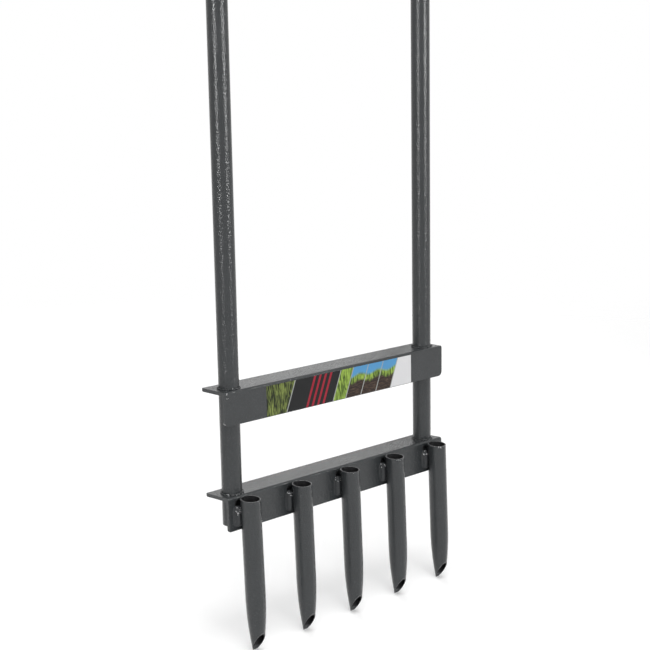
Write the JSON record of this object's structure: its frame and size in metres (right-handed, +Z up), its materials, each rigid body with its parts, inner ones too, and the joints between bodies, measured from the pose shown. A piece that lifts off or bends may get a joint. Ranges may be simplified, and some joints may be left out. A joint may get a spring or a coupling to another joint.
{
  "type": "hollow tine lawn aerator",
  "caption": "Hand aerator for lawns: two round uprights under a cross handle join an upper foot bar and a lower bar with hollow, open-topped tines that cut out soil cores.",
  "frame": {"origin": "on the ground under the middle of the tool, which stands on the points of its tines", "axes": "+X to the right along the bars, +Y to the back, so that the tines and the label face -Y, +Z up along the uprights"},
  "size_m": [0.567, 0.065, 0.967],
  "materials": {
    "frame_paint": "hammered, dark anthracite",
    "weld_paint": "rippled weld under the same paint",
    "grip_rubber": "matt",
    "plug_plastic": "satin",
    "label_film": "printed film"
  },
  "bodies": {
    "root": {"left_upright": "frame_paint", "right_upright": "frame_paint", "handle_tube": "frame_paint", "foot_bar": "frame_paint", "tine_bar": "frame_paint", "tine_1": "frame_paint", "tine_2": "frame_paint", "tine_3": "frame_paint", "tine_4": "frame_paint", "tine_5": "frame_paint", "left_grip": "grip_rubber", "right_grip": "grip_rubber", "left_end_plug": "plug_plastic", "right_end_plug": "plug_plastic", "left_handle_weld": "weld_paint", "right_handle_weld": "weld_paint", "left_foot_bar_weld": "weld_paint", "right_foot_bar_weld": "weld_paint", "left_tine_bar_weld": "weld_paint", "right_tine_bar_weld": "weld_paint", "tine_1_welds": "weld_paint", "tine_2_welds": "weld_paint", "tine_3_welds": "weld_paint", "tine_4_welds": "weld_paint", "tine_5_welds": "weld_paint", "label": "label_film"}
  },
  "joints": []
}
